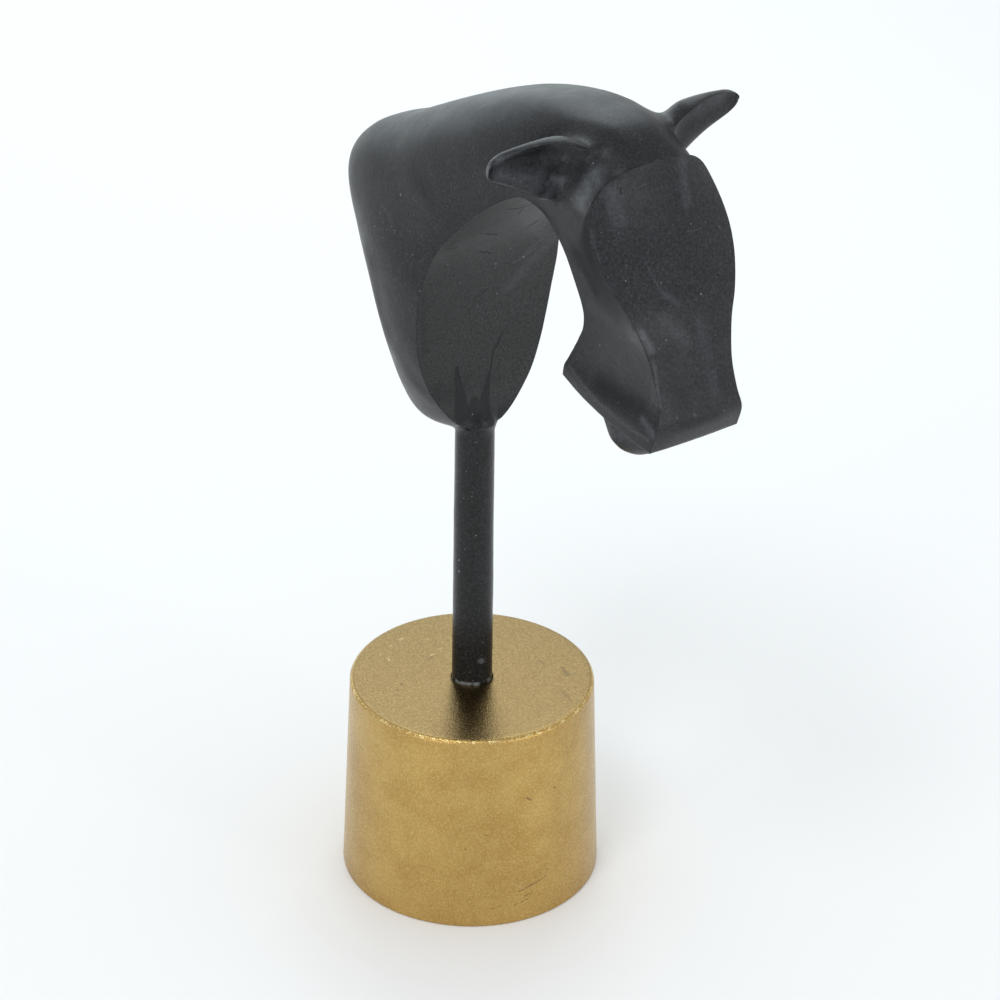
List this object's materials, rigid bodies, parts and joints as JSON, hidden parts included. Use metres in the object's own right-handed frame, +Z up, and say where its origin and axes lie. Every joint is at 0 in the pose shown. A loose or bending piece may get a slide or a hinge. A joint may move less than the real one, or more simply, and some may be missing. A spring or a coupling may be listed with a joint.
{
  "type": "horse sculpture",
  "caption": "Stylised horse head and neck bowed over a slim round rod, cast in one, standing on a tapered metal drum.",
  "frame": {"origin": "centre of the drum's underside, on the rod's axis", "axes": "+Z up along the rod, +X the way the horse faces, +Y the horse's left; the XZ plane is the horse's plane of symmetry"},
  "size_m": [0.1833, 0.1, 0.3265],
  "materials": {
    "gold_drum": "gold metallic paint, satin, finely grained and pitted",
    "black_casting": "black satin patina with fine pits and rubbing marks"
  },
  "bodies": {
    "root": {"drum_base": "gold_drum", "horse_head_on_rod": "black_casting"}
  },
  "joints": []
}
